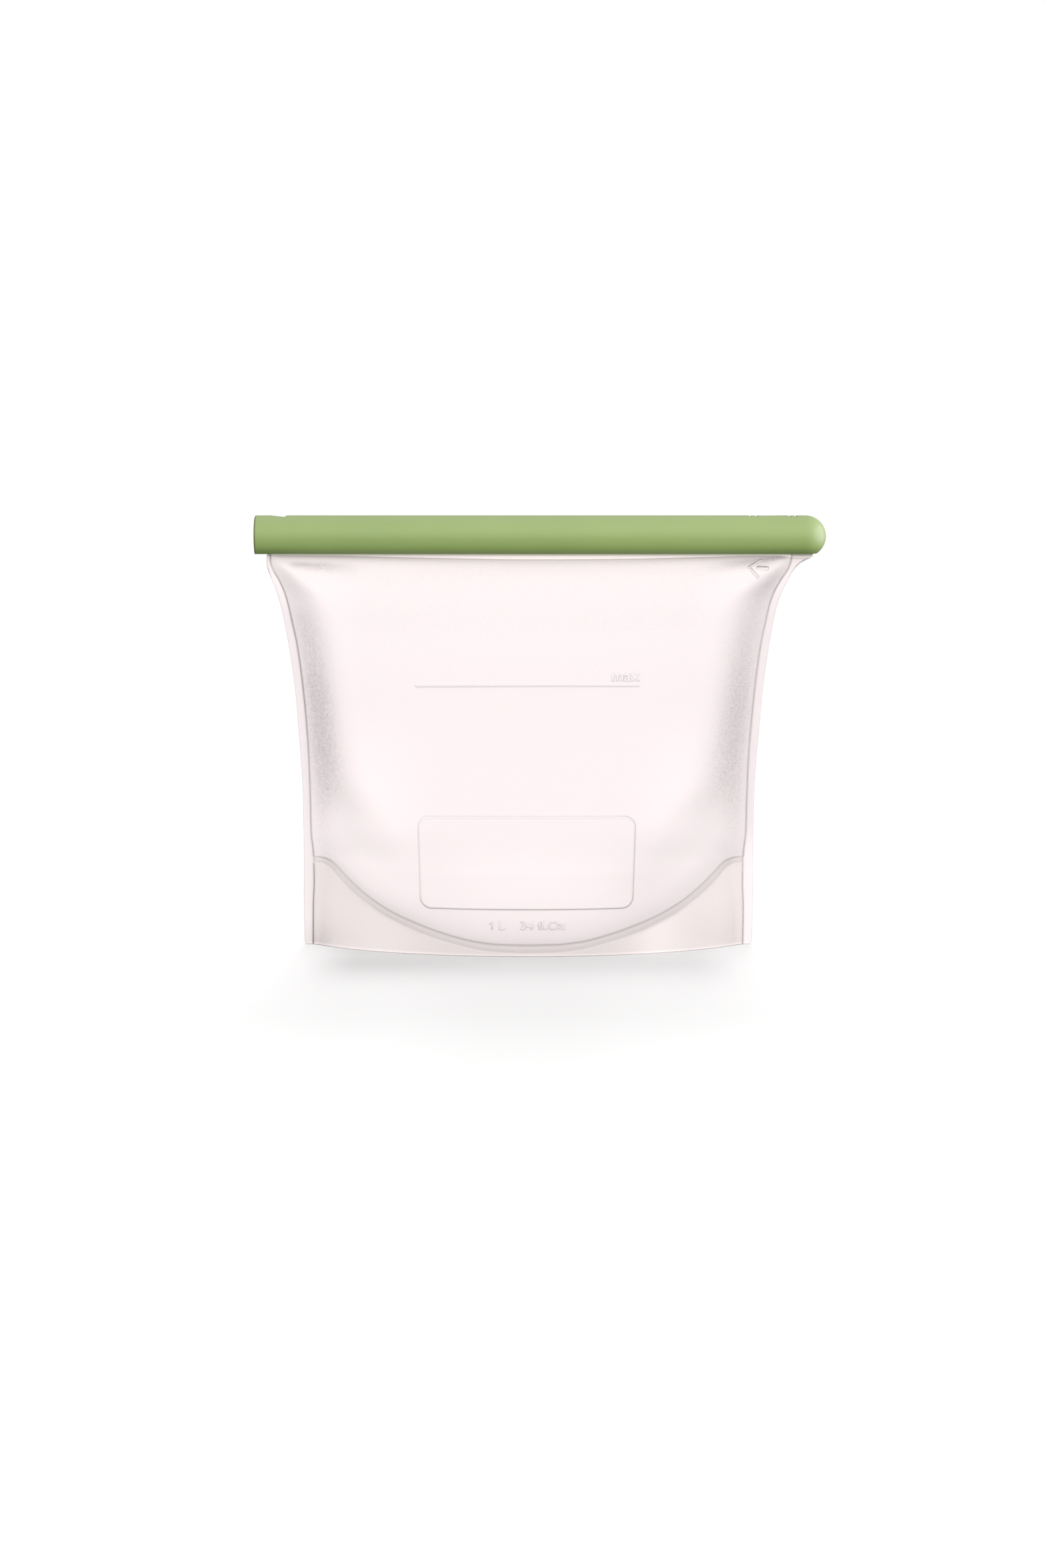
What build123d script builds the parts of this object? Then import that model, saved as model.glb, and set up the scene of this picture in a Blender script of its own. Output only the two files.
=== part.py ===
from build123d import *

import math
import os

# Reusable silicone food bag with a slide-on closing bar.
# Frame: +Z up, +X to the viewer's right, the front of the bag faces -Y.
# Origin: on the floor, under the middle of the closing bar. All lengths in millimetres.
#
# Pieces: front and back silicone panel, bonded base gusset, front and back
# mouth lip with its half of the sealing bead, and the rigid closing bar.

os.makedirs("parts", exist_ok=True)

# ---------------------------------------------------------------- shared dimensions
MID = -5.0                 # middle plane of the bag; the bar overhangs more on its domed end
BAR_Z = 189.5              # height of the axis of the bar and the bead
KNUCKLE_HALF = 117.0       # half length of the lips' round foot
FLANGE_T = 1.2             # one half of a side seam
WALL = 1.1                 # wall of the chamber
SIDE_INSET = 1.0           # chamber edge to cavity edge, at each side
SEAT_HALF = 1.88           # half gap the knuckle sits in

# Horizontal sections of the bag. Columns: height, half width of the chamber,
# half width with the side seam, outer depth in the middle, width of the shoulder
# beside the seam, share of the pillow section over the pointed base section.
SECTIONS = (
    (0.0, 99.9, 103.6, 31.4, 27.0, 0.0),
    (12.0, 99.9, 103.8, 31.7, 27.0, 0.12),
    (26.0, 99.7, 103.9, 31.7, 27.0, 0.42),
    (42.0, 99.6, 103.8, 31.3, 27.0, 0.85),
    (60.0, 99.9, 103.8, 30.5, 27.0, 1.0),
    (80.0, 100.7, 104.2, 29.2, 27.0, 1.0),
    (100.0, 101.8, 105.3, 27.3, 27.0, 1.0),
    (120.0, 103.4, 107.1, 25.0, 27.0, 1.0),
    (138.0, 105.6, 109.5, 21.4, 25.5, 1.0),
    (151.0, 108.0, 111.8, 18.0, 22.5, 1.0),
    (161.0, 110.5, 114.2, 14.5, 18.0, 1.0),
    (169.0, 113.9, 117.3, 10.6, 12.0, 1.0),
    (174.0, 117.0, 119.9, 6.9, 6.5, 1.0),
    (177.6, 118.3, 120.8, 3.05, 1.2, 1.0),
)
HEIGHTS, HALF_IN, HALF_OUT, DEPTH, SHOULDER, PILLOW = zip(*SECTIONS)
PANEL_TOP = HEIGHTS[-1]
CAVITY_Z = (-1.0,) + HEIGHTS[1:]     # starts below the floor so that the cut breaks through
RELIEF_Z = HEIGHTS[:8]               # sections that the raised relief spans

CROWN = 0.16               # share of the crown in the pillow section
CROWN_FADE_Z = 150.0       # the crown fades out from here to the panel top
LENS_POWER = 0.72          # fullness of the pointed base section
SHOULDER_STEPS = (0.0, 0.12, 0.28, 0.5, 0.75, 1.0)   # points across the shoulder
MIDDLE_STEPS = (0.82, 0.58, 0.3)                     # points between shoulder and middle

# Weld between a panel and the gusset, one half of a symmetric curve.
# Columns: distance from the middle, upper edge, lower edge of the weld rib.
RIB = (
    (0.0, 5.9, 1.6), (12.0, 6.0, 1.9), (24.0, 7.2, 2.9), (33.0, 9.2, 5.2),
    (42.0, 11.8, 7.6), (51.0, 15.0, 10.6), (60.0, 18.6, 14.5), (68.0, 22.8, 18.4),
    (75.0, 27.3, 22.9), (81.0, 32.4, 27.0), (86.0, 36.7, 31.3), (90.0, 40.0, 35.6),
    (94.0, 41.4, 38.2), (98.4, 41.7, 38.9),
)
RIB_X, RIB_TOP, RIB_LOW = zip(*RIB)


# ---------------------------------------------------------------- shape of the chamber
def interpolate(x, xs, ys):
    """Monotone cubic through a table, held constant beyond its ends."""
    if x <= xs[0]:
        return ys[0]
    if x >= xs[-1]:
        return ys[-1]
    count = len(xs)
    step = [xs[i + 1] - xs[i] for i in range(count - 1)]
    slope = [(ys[i + 1] - ys[i]) / step[i] for i in range(count - 1)]
    tangent = [slope[0]] + [0.0] * (count - 2) + [slope[-1]]
    for i in range(1, count - 1):
        if slope[i - 1] * slope[i] > 0:
            before = 2 * step[i] + step[i - 1]
            after = step[i] + 2 * step[i - 1]
            tangent[i] = (before + after) / (before / slope[i - 1] + after / slope[i])
    i = max(k for k in range(count - 1) if xs[k] <= x)
    t = (x - xs[i]) / step[i]
    return (
        (2 * t**3 - 3 * t**2 + 1) * ys[i]
        + (t**3 - 2 * t**2 + t) * step[i] * tangent[i]
        + (-2 * t**3 + 3 * t**2) * ys[i + 1]
        + (t**3 - t**2) * step[i] * tangent[i + 1]
    )


def at_height(z, column):
    return interpolate(z, HEIGHTS, column)


def depth_share(x, half_width, z):
    """Share of the middle depth at distance x from the middle."""
    across = min(abs(x) / half_width, 1.0)
    from_edge = half_width - min(abs(x), half_width)
    s = min(from_edge / at_height(z, SHOULDER), 1.0)
    rise = s * s * (6 - 8 * s + 3 * s * s)
    crown = CROWN
    if z >= CROWN_FADE_Z:
        crown *= max(0.0, (PANEL_TOP - z) / (PANEL_TOP - CROWN_FADE_Z))
    pillow = (1 - crown) * rise + crown * (1 - across**2)
    lens = (1 - across**2) ** LENS_POWER
    blend = at_height(z, PILLOW)
    return lens * (1 - blend) + pillow * blend


def places(half_width, z):
    """Distances from the middle where a section is measured, left to right."""
    shoulder = at_height(z, SHOULDER)
    side = [half_width - f * shoulder for f in SHOULDER_STEPS]
    side += [(half_width - shoulder) * f for f in MIDDLE_STEPS]
    return [-x for x in side] + [0.0] + side[::-1]


def outer_profile(z, proud=0.0):
    """Outer face of the front panel at height z, raised by proud."""
    half_width = at_height(z, HALF_IN)
    bulge = at_height(z, DEPTH) - FLANGE_T
    return [
        (MID + x, -FLANGE_T - bulge * depth_share(x, half_width, z) - proud)
        for x in places(half_width, z)
    ]


def inner_profile(z, shrink=0.0):
    """Front half of the cavity at height z, drawn in by shrink."""
    half_width = at_height(z, HALF_IN) - SIDE_INSET - shrink
    if z >= PANEL_TOP - 0.01:
        deep = SEAT_HALF
    else:
        # a leaning wall is thicker when measured along Y
        lean = (at_height(z + 1, DEPTH) - at_height(z - 1, DEPTH)) / 2
        deep = at_height(z, DEPTH) - WALL * math.hypot(1.0, min(abs(lean), 0.9))
    deep -= shrink
    return [(MID + x, -deep * depth_share(x, half_width, z)) for x in places(half_width, z)]


# ---------------------------------------------------------------- relief of a panel
RIB_PROUD = 0.8            # height of the weld rib
LABEL_PROUD = 0.45         # height of the raised label field
LABEL_X = (-55.2, 43.5)    # left and right edge
LABEL_Z = (22.4, 65.2)     # lower and upper edge
LABEL_R = 5.2
RELIEF_BACK_Y = -0.4       # back face of the relief bodies, buried in the panel
RELIEF_REACH = 60.0        # length of the outline prisms, longer than the bag is deep


def raised_body(proud):
    """Lower part of the front panel's body, standing proud of its outer face."""
    with BuildPart() as body:
        for z in RELIEF_Z:
            half_width = at_height(z, HALF_IN)
            with BuildSketch(Plane.XY.offset(z)):
                with BuildLine():
                    pts = outer_profile(z, proud)
                    Polyline(
                        pts[0],
                        (MID - half_width, RELIEF_BACK_Y),
                        (MID + half_width, RELIEF_BACK_Y),
                        pts[-1],
                    )
                    Spline(*pts)
                make_face()
        loft()
    return body.part


def smile(edge):
    """Whole edge of the weld rib, left to right, from its right half."""
    right = list(zip(RIB_X, edge))
    return [(MID - x, z) for x, z in right[:0:-1]] + [(MID + x, z) for x, z in right]


def make_weld_rib():
    with BuildPart() as rib:
        add(raised_body(RIB_PROUD))
        with BuildSketch(Plane.XZ.offset(-1)):
            with BuildLine():
                top, low = smile(RIB_TOP), smile(RIB_LOW)
                Spline(*top)
                Line(top[-1], low[-1])
                Spline(*low[::-1])
                Line(low[0], top[0])
            make_face()
        extrude(amount=RELIEF_REACH, mode=Mode.INTERSECT)
    return rib.part


def make_label_field():
    with BuildPart() as field:
        add(raised_body(LABEL_PROUD))
        with BuildSketch(Plane.XZ.offset(-1)):
            with Locations((sum(LABEL_X) / 2, sum(LABEL_Z) / 2)):
                RectangleRounded(LABEL_X[1] - LABEL_X[0], LABEL_Z[1] - LABEL_Z[0], LABEL_R)
        extrude(amount=RELIEF_REACH, mode=Mode.INTERSECT)
    return field.part


# ---------------------------------------------------------------- panels
SEAT_FLOOR_Z = 175.9
SEAT_CUT = 5.0             # height of the seat cut, past the panel top
SEAT_PLAY = 0.2            # extra length of the seat over the knuckle


def make_panel(label, side, reliefs):
    """One panel; side is -1 for the front, +1 for the back. Reliefs are front ones."""
    with BuildPart() as panel:
        for z in HEIGHTS:
            half_width = at_height(z, HALF_OUT)
            seam_y = side * FLANGE_T
            with BuildSketch(Plane.XY.offset(z)):
                with BuildLine():
                    pts = [(x, -side * y) for x, y in outer_profile(z)]
                    Polyline(
                        pts[0],
                        (MID - half_width, seam_y),
                        (MID - half_width, 0),
                        (MID + half_width, 0),
                        (MID + half_width, seam_y),
                        pts[-1],
                    )
                    Spline(*pts)
                make_face()
        loft()
        for relief in reliefs:
            add(relief if side < 0 else mirror(relief, about=Plane.XZ))
        # cavity
        for z in CAVITY_Z:
            with BuildSketch(Plane.XY.offset(z)):
                with BuildLine():
                    pts = [(x, -side * y) for x, y in inner_profile(max(z, 0.0))]
                    Spline(*pts)
                    Line(pts[-1], pts[0])
                make_face()
        loft(mode=Mode.SUBTRACT)
        # seat of the lips' round foot
        with BuildSketch(Plane.XY.offset(SEAT_FLOOR_Z)):
            with Locations((MID, 0)):
                Rectangle(2 * KNUCKLE_HALF + SEAT_PLAY, 2 * SEAT_HALF)
        extrude(amount=SEAT_CUT, mode=Mode.SUBTRACT)
    panel.part.label = label
    return panel.part


# ---------------------------------------------------------------- base gusset
FOLD_Z = 43.0              # height of the gusset's fold line when the bag lies flat
GUSSET_T = 1.0
GUSSET_GAP = 0.06          # glue line between gusset and panel
GUSSET_OVER = 2.5          # how far the arch runs past the chamber before trimming
GUSSET_HALF_X = (18, 36, 54, 68, 80, 90, 96.5)     # stations on one side of the middle
GUSSET_X = [-x for x in GUSSET_HALF_X[::-1]] + [0] + list(GUSSET_HALF_X)
ARCH_STEPS = (-1.0, -0.8, -0.55, -0.3, 0.0, 0.3, 0.55, 0.8, 1.0)   # points across an arch


def weld(x):
    """Height of the weld and half depth of the chamber there."""
    z = (interpolate(abs(x), RIB_X, RIB_TOP) + interpolate(abs(x), RIB_X, RIB_LOW)) / 2
    half_width = at_height(z, HALF_IN) - SIDE_INSET
    return z, (at_height(z, DEPTH) - WALL) * depth_share(x, half_width, z)


def arch(x, lift):
    """Arch of the gusset from front to back at x, as (y, z) points."""
    z, half_depth = weld(x)
    rise = max(0.12 * half_depth, 0.4)
    if FOLD_Z - z > half_depth:
        # the length of material up to the fold line sets the height
        rise = max(rise, math.sqrt((FOLD_Z - z) ** 2 - half_depth**2))
    points = []
    for step in ARCH_STEPS:
        y = step * (half_depth + GUSSET_OVER)
        square = (y / half_depth) ** 2
        points.append((y, z + rise * (1 - square * (1.6 - 0.6 * min(square, 1.0))) + lift))
    return points


def make_base_gusset():
    with BuildPart() as gusset:
        for x in GUSSET_X:
            with BuildSketch(Plane.YZ.offset(MID + x)):
                with BuildLine():
                    low, top = arch(x, 0.0), arch(x, GUSSET_T)
                    Spline(*low)
                    Line(low[-1], top[-1])
                    Spline(*top[::-1])
                    Line(top[0], low[0])
                make_face()
        loft()
        # trim to the cavity, less the glue line
        for z in CAVITY_Z:
            with BuildSketch(Plane.XY.offset(z)):
                with BuildLine():
                    pts = inner_profile(max(z, 0.0), GUSSET_GAP)
                    Spline(*pts)
                    Spline(*[(x, -y) for x, y in pts[::-1]])
                make_face()
        loft(mode=Mode.INTERSECT)
    gusset.part.label = "base_gusset"
    return gusset.part


# ---------------------------------------------------------------- lips
LIP_LEFT = -125.3
LIP_RIGHT = 124.2
LIP_LENGTH = LIP_RIGHT - LIP_LEFT
BEAD_R = 6.13
BEAD_LEAD = 1.2            # rounding at the ends of the bead
NECK = 1.6                 # thickness of one lip inside the slot
THIN_NECK = 1.2            # thickness of one lip where it flexes
NECK_STEP_Z = 180.2
WEB_BOTTOM_Z = 179.4       # lower edge beyond the knuckle
PIVOT_Z = 178.0            # line the neck flexes about
KNUCKLE_R = 1.8
# lower edge of the guide tab that leads the bar onto the beads, as (x, z)
TAB = ((117.4, 176.8), (119.9, 178.6), (LIP_RIGHT, 181.1))
TAB_START_X = 116.9


def make_front_lip():
    knuckle_left, knuckle_right = MID - KNUCKLE_HALF, MID + KNUCKLE_HALF
    with BuildPart() as lip:
        # bead
        with BuildSketch(Plane.YZ.offset(LIP_LEFT)):
            with Locations((0, BAR_Z)):
                Circle(BEAD_R)
        extrude(amount=LIP_LENGTH)
        fillet(lip.edges().filter_by(GeomType.CIRCLE), BEAD_LEAD)
        # thick neck
        with BuildSketch(Plane.XY.offset(NECK_STEP_Z)):
            with Locations(((LIP_LEFT + LIP_RIGHT) / 2, 0)):
                Rectangle(LIP_LENGTH, 2 * NECK)
        extrude(amount=BAR_Z - NECK_STEP_Z)
        # thin neck with the guide tab, its lower left corner cut off
        with BuildSketch(Plane.XZ.offset(-THIN_NECK)):
            with BuildLine():
                Polyline(
                    (LIP_LEFT, BAR_Z),
                    (LIP_LEFT, WEB_BOTTOM_Z + 0.4),
                    (LIP_LEFT + 0.8, WEB_BOTTOM_Z),
                    (knuckle_left, WEB_BOTTOM_Z),
                    (knuckle_left, PIVOT_Z),
                    (knuckle_right, PIVOT_Z),
                    (knuckle_right, WEB_BOTTOM_Z),
                    (TAB_START_X, WEB_BOTTOM_Z),
                    *TAB,
                    (LIP_RIGHT, BAR_Z),
                    (LIP_LEFT, BAR_Z),
                )
            make_face()
        extrude(amount=2 * THIN_NECK)
        # knuckle
        with BuildSketch(Plane.YZ.offset(knuckle_left)):
            with Locations((0, PIVOT_Z)):
                Circle(KNUCKLE_R)
        extrude(amount=2 * KNUCKLE_HALF)
        # Plane.XZ faces -Y, so its top side is the front half
        split(bisect_by=Plane.XZ, keep=Keep.TOP)
    lip.part.label = "front_lip"
    return lip.part


def make_back_lip(front):
    with BuildPart() as lip:
        add(mirror(front, about=Plane.XZ))
    lip.part.label = "back_lip"
    return lip.part


# ---------------------------------------------------------------- closing bar
# a C-channel with one open end and one domed end
BAR_LEFT = -130.0          # open end
BAR_TIP = 130.0            # end of the dome
BAR_R = 9.5                # outer radius
BAR_TOP_Z = BAR_Z + BAR_R
BAR_FLAT_Z = 181.8         # flat underside
BORE_R = 6.2               # channel around the beads
SLOT_HALF = 1.67           # half width of the slot in the underside
SLOT_CUT = 4.0             # height of the slot cut
CHANNEL_END = 125.0        # inner end of the channel
END_EDGE = 0.8             # rounding of the open end
OVERCUT = 1.0              # how far cuts start outside the bar

# thumb scoop on top, near the open end
SCOOP_START = -123.3
SCOOP_WALL = -115.5
SCOOP_DEPTH = 1.3
SCOOP_HALF = 6.0
SCOOP_ARC = 3.2            # length of the rounded end
SCOOP_CUT = 4.0            # height of the cut above the ramp

# two pairs of grip notches on top, near the domed end
NOTCHES = (95.4, 98.1, 113.3, 116.0)
NOTCH_WIDE = 1.2
NOTCH_DEEP = 0.55
NOTCH_REACH = 10.0         # half length of the cut, past both sides of the bar


def make_slide_bar():
    with BuildPart() as bar:
        with BuildSketch(Plane.YZ.offset(BAR_LEFT)):
            with Locations((0, BAR_Z)):
                Circle(BAR_R)
        extrude(amount=BAR_TIP - BAR_R - BAR_LEFT)
        with Locations((BAR_TIP - BAR_R, 0, BAR_Z)):
            Sphere(BAR_R)
        circles = bar.edges().filter_by(GeomType.CIRCLE)
        fillet(circles.filter_by_position(Axis.X, BAR_LEFT - 0.1, BAR_LEFT + 0.1), END_EDGE)
        # flat underside
        with BuildSketch(Plane.XY.offset(BAR_FLAT_Z)):
            with Locations(((BAR_LEFT + BAR_TIP) / 2, 0)):
                Rectangle(BAR_TIP - BAR_LEFT + 10, 4 * BAR_R)
        extrude(amount=-10, mode=Mode.SUBTRACT)
        # channel and slot
        cut_left = BAR_LEFT - OVERCUT
        with BuildSketch(Plane.YZ.offset(cut_left)):
            with Locations((0, BAR_Z)):
                Circle(BORE_R)
        extrude(amount=CHANNEL_END - cut_left, mode=Mode.SUBTRACT)
        with BuildSketch(Plane.XY.offset(BAR_FLAT_Z - OVERCUT)):
            with Locations(((cut_left + CHANNEL_END) / 2, 0)):
                Rectangle(CHANNEL_END - cut_left, 2 * SLOT_HALF)
        extrude(amount=SLOT_CUT, mode=Mode.SUBTRACT)
        # thumb scoop: a ramp down to the right, ending in a rounded wall
        run = SCOOP_WALL - SCOOP_START
        ramp = Plane(
            origin=(SCOOP_START, 0, BAR_TOP_Z),
            x_dir=(run, 0, -SCOOP_DEPTH),
            z_dir=(SCOOP_DEPTH, 0, run),
        )
        arc_start, arc_end = (run - SCOOP_ARC, SCOOP_HALF), (run - SCOOP_ARC, -SCOOP_HALF)
        with BuildSketch(ramp):
            with BuildLine():
                Polyline(arc_start, (0, SCOOP_HALF), (0, -SCOOP_HALF), arc_end)
                ThreePointArc(arc_start, (run, 0), arc_end)
            make_face()
        extrude(amount=SCOOP_CUT, mode=Mode.SUBTRACT)
        # grip notches
        with BuildSketch(Plane.XZ.offset(-NOTCH_REACH)):
            with Locations(*[(x, BAR_TOP_Z) for x in NOTCHES]):
                Rectangle(NOTCH_WIDE, 2 * NOTCH_DEEP)
        extrude(amount=2 * NOTCH_REACH, mode=Mode.SUBTRACT)
    bar.part.label = "slide_bar"
    return bar.part


# ---------------------------------------------------------------- build and export
weld_rib = make_weld_rib()
front_lip = make_front_lip()
pieces = (
    make_panel("front_panel", -1, [weld_rib, make_label_field()]),
    make_panel("back_panel", 1, [weld_rib]),
    make_base_gusset(),
    front_lip,
    make_back_lip(front_lip),
    make_slide_bar(),
)
for piece in pieces:
    export_step(piece, f"parts/{piece.label}.step")
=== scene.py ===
import math

import bmesh
import bpy
import numpy as np
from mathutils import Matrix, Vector


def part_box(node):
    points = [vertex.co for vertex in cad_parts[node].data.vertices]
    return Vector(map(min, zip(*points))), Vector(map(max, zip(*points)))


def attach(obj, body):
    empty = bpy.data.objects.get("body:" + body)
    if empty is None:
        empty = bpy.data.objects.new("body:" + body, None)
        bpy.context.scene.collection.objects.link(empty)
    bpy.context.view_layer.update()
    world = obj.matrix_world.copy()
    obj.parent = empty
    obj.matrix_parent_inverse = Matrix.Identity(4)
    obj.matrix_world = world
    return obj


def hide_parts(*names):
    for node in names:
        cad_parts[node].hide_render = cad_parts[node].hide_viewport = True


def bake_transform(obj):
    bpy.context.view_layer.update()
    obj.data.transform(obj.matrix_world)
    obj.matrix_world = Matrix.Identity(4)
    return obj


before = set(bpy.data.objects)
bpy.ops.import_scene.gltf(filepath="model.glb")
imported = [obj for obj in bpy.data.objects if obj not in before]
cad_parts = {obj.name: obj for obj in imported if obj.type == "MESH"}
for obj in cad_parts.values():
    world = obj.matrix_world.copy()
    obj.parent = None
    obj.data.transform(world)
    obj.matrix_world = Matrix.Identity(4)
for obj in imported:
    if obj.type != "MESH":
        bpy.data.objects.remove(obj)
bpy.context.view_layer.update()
MM = 0.001

# ---------------------------------------------------------------- places taken from the frame
panel_box = np.array(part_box("front_panel")) * 1000
bar_box = np.array(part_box("slide_bar")) * 1000
MID = float((panel_box[0, 0] + panel_box[1, 0]) / 2)    # middle plane of the bag
BAR_LEFT = float(bar_box[0, 0])
BAR_FLAT = float(bar_box[0, 2])                         # flat underside of the bar
BAR_RADIUS = 9.5
BAR_Z = float(bar_box[1, 2]) - BAR_RADIUS               # axis of the bar

# ---------------------------------------------------------------- driving sizes
SEAM_HALF = 1.2         # one wall's share of a side seam
BAND_HALF = 1.7         # one wall's share of the mouth band
BEAD_RADIUS = 6.08      # sealing bead inside the bar
NECK_HALF = 1.62        # where the neck meets the bead
BEAD_END = 1.3          # rounding of the bead's ends
FOOT_CORNER = 1.2       # rounding of the seams' lower corners
FOOT_EDGE = 0.6         # height of the rounding along the foot
CREASE = 178.9          # row where chamber meets mouth band, before it is curved
LIFT_FROM = 168         # the curving of the crease starts at this height
NEAR_MIDDLE = 0.01      # gap kept from the middle plane

# ---------------------------------------------------------------- measured tables
# Half width of the chamber, by height.
CHAMBER_Z = (0, 17.5, 30, 43, 52.7, 67, 88, 104, 120, 140, 150, 160.6, 165, 169.5, 175.5, 179, 200)
CHAMBER_HALF = (99.9, 99.8, 99.3, 99.5, 100.4, 100.6, 101.2, 102.2, 103.6, 106.1, 108.1,
                110.5, 112.1, 114.4, 117.8, 118.7, 118.7)
# Half width out to the seam's outer edge, by height.
EDGE_Z = (0, 24, 37, 67, 86, 99, 114.5, 128.7, 139, 148, 154.5, 160.5, 166.6, 169.6,
          172.7, 175.7, 178.5, 181, 200)
EDGE_HALF = (103.8, 104.1, 103.9, 104.0, 104.8, 105.8, 106.9, 108.4, 109.85, 111.4, 112.6,
             114.1, 116.3, 117.75, 119.2, 120.2, 120.45, 120.35, 120.35)
# Outer edge of the tab at the right upper corner, by height.
TAB_Z = (0, 172.7, 175.7, 177.2, 178.3, 179.3, 180.1, 181.0, 200)
TAB_X = (0, 119.3, 121.3, 122.9, 124.3, 126.9, 128.05, 128.4, 128.4)
# Sideways shift of the body, by height.
LEAN_Z = (0, 20, 50, 85, 115, 130, 148, 158, 166, 172, 176, 181)
LEAN_X = (-0.6, -0.5, -0.45, -0.38, -0.25, -0.25, -0.28, -0.30, -0.02, 0.30, 0.42, 0.70)
# Chamber by height: depth at the middle, width of its shoulders, and how far its section is a
# flat-topped pillow (1) rather than a lens (0).
BODY_Z = (0, 12, 26, 42, 60, 80, 100, 120, 138, 151, 161, 169, 174, 177.0, 178.9)
DEPTH = (31.4, 31.6, 31.6, 31.2, 30.4, 29.0, 27.1, 24.6, 21.0, 17.6, 14.0, 10.1, 6.6, 4.0, 1.95)
SHOULDER = (62, 61, 59, 54, 43, 30, 26, 25, 25, 24, 21, 15.5, 11.0, 8.0, 6.0)
PILLOW = (0, 0.05, 0.3, 0.7, 1, 1, 1, 1, 1, 1, 1, 1, 1, 1, 1)
# Weld rib between chamber and foot: heights of its upper and lower edge, by distance from middle.
RIB_X = (0, 12, 23, 33, 42, 51, 60, 68, 73.5, 79, 83, 86, 88.5, 91, 93.5, 96, 99.5)
RIB_TOP = (5.9, 6.05, 7.1, 9.2, 11.8, 15.0, 18.6, 22.8, 26.3, 30.5, 33.9, 36.7, 38.9,
           40.6, 41.35, 41.7, 41.7)
RIB_LOW = (1.6, 1.9, 2.9, 5.2, 7.6, 10.6, 14.5, 18.3, 21.9, 25.5, 28.6, 31.3, 33.9,
           36.6, 38.1, 38.7, 38.9)
# Height of the crease between chamber and mouth band, by x.
CREASE_X = (-119, -110, -95, -60, -20, 0, 40, 80, 104, 112, 116, 119.3)
CREASE_Z = (180.75, 180.7, 180.6, 179.9, 179.1, 178.9, 179.1, 180.0, 180.5, 180.45, 180.2, 179.4)


# ---------------------------------------------------------------- smooth functions
def pchip(x, xs, ys):
    """Monotone cubic through a table."""
    xs, ys = np.asarray(xs, float), np.asarray(ys, float)
    x = np.clip(np.asarray(x, float), xs[0], xs[-1])
    step = np.diff(xs)
    slope = np.diff(ys) / step
    tangent = np.zeros(len(xs))
    tangent[0], tangent[-1] = slope[0], slope[-1]
    for i in range(1, len(xs) - 1):
        if slope[i - 1] * slope[i] > 0:
            before, after = 2 * step[i] + step[i - 1], step[i] + 2 * step[i - 1]
            tangent[i] = (before + after) / (before / slope[i - 1] + after / slope[i])
    i = np.clip(np.searchsorted(xs, x, side="right") - 1, 0, len(xs) - 2)
    t = (x - xs[i]) / step[i]
    return (
        (2 * t**3 - 3 * t**2 + 1) * ys[i]
        + (t**3 - 2 * t**2 + t) * step[i] * tangent[i]
        + (-2 * t**3 + 3 * t**2) * ys[i + 1]
        + (t**3 - t**2) * step[i] * tangent[i + 1]
    )


def rise(value, start, end):
    """Smooth step from 0 at start to 1 at end; end may be the lower one."""
    t = np.clip((value - start) / (end - start), 0, 1)
    return t * t * (3 - 2 * t)


def hump(offset, width):
    """1 at offset 0, falling off over the width."""
    return np.exp(-((offset / width) ** 2))


def half_width(z):
    return pchip(z, CHAMBER_Z, CHAMBER_HALF)


def lean(z):
    return pchip(z, LEAN_Z, LEAN_X)


def crease_line(x):
    return pchip(x, CREASE_X, CREASE_Z)


def lift(x, z):
    """How far a row of the chamber is raised to meet the curved crease."""
    return (crease_line(x) - CREASE) * rise(z, LIFT_FROM, CREASE)


def before_lift(x, z):
    """The row that ends up at height z once it is lifted."""
    row = np.array(z, float)
    for _ in range(12):
        row = z - lift(x, row)
    return row


# ---------------------------------------------------------------- form of the chamber wall
def rib_place(x, z):
    """Place across the rib (0 lower edge, 1 upper edge), and true distances above and below it."""
    ax = np.abs(x)
    top, low = pchip(ax, RIB_X, RIB_TOP), pchip(ax, RIB_X, RIB_LOW)
    slope = pchip(ax + 0.5, RIB_X, RIB_TOP) - pchip(ax - 0.5, RIB_X, RIB_TOP)
    slope = np.where(ax < 0.6, 0, slope)
    square_on = 1 / np.sqrt(1 + slope**2)
    return (z - low) / (top - low), (z - top) * square_on, (low - z) * square_on


def depth_share(x, z):
    """Share of the middle depth that the chamber has at x, for its section at height z."""
    width = half_width(z)
    u = np.minimum(np.abs(x) / width, 1)
    shoulder = pchip(z, BODY_Z, SHOULDER) * np.where(x > 0, 1.12, 1.0)      # wider to the right
    s = np.minimum((width - np.minimum(np.abs(x), width)) / shoulder, 1)
    flat = 1 - (1 - s) ** 3 * (1 + 2.2 * s)
    crown = np.where(z < 150, 0.16, 0.16 * np.clip((178.9 - z) / 28.9, 0, 1))
    pillow = (1 - crown) * flat + crown * (1 - u**2)
    lens = (1 - u**2) ** 0.72
    k = pchip(z, BODY_Z, PILLOW)
    return lens * (1 - k) + pillow * k


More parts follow.
